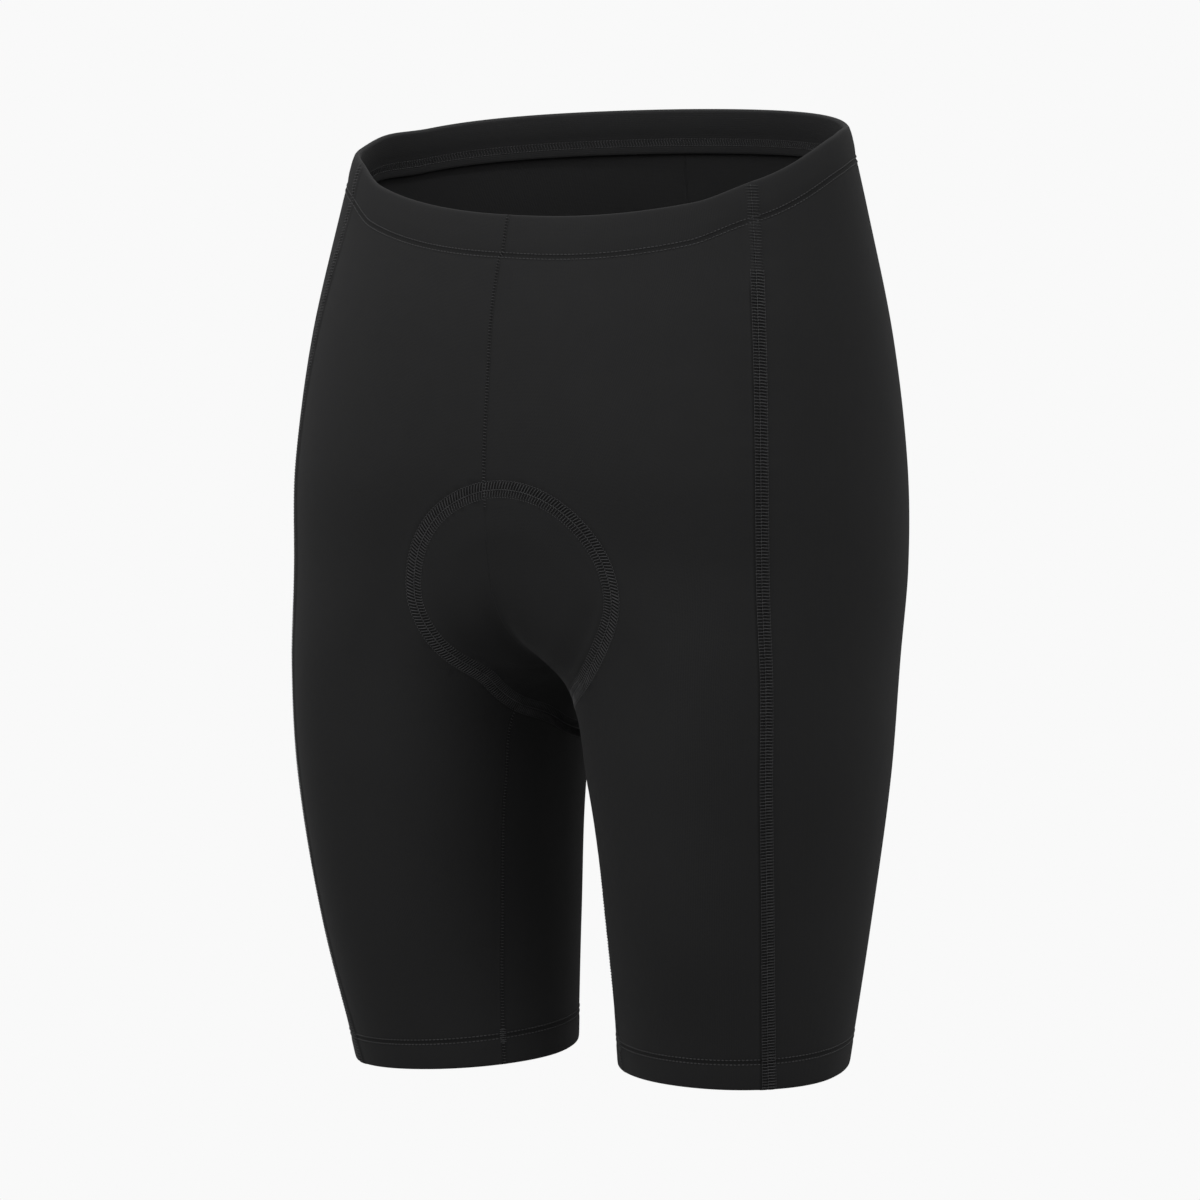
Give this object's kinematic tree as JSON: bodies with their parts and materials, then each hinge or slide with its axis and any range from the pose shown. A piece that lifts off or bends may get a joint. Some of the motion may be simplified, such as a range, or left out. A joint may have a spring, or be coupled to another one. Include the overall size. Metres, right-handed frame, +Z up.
{
  "type": "cycling shorts",
  "caption": "Close-fitting padded knit shorts, worn form and hollow, open at the waist and at both legs, with an elastic waistband and turned hems.",
  "frame": {"origin": "middle of the waist opening, where the wearer's waist holds the shorts up", "axes": "+Z up towards the wearer's head, -Y towards the front, +X towards the wearer's left"},
  "size_m": [0.2978, 0.229, 0.4605],
  "materials": {
    "knit": "matt black stretch knit",
    "elastic": "black elastic in a knit casing",
    "pad": "black brushed pad cover"
  },
  "bodies": {
    "root": {"front_left": "knit", "front_right": "knit", "back_left": "knit", "back_right": "knit", "waistband": "elastic", "crotch_pad": "pad"}
  },
  "joints": []
}
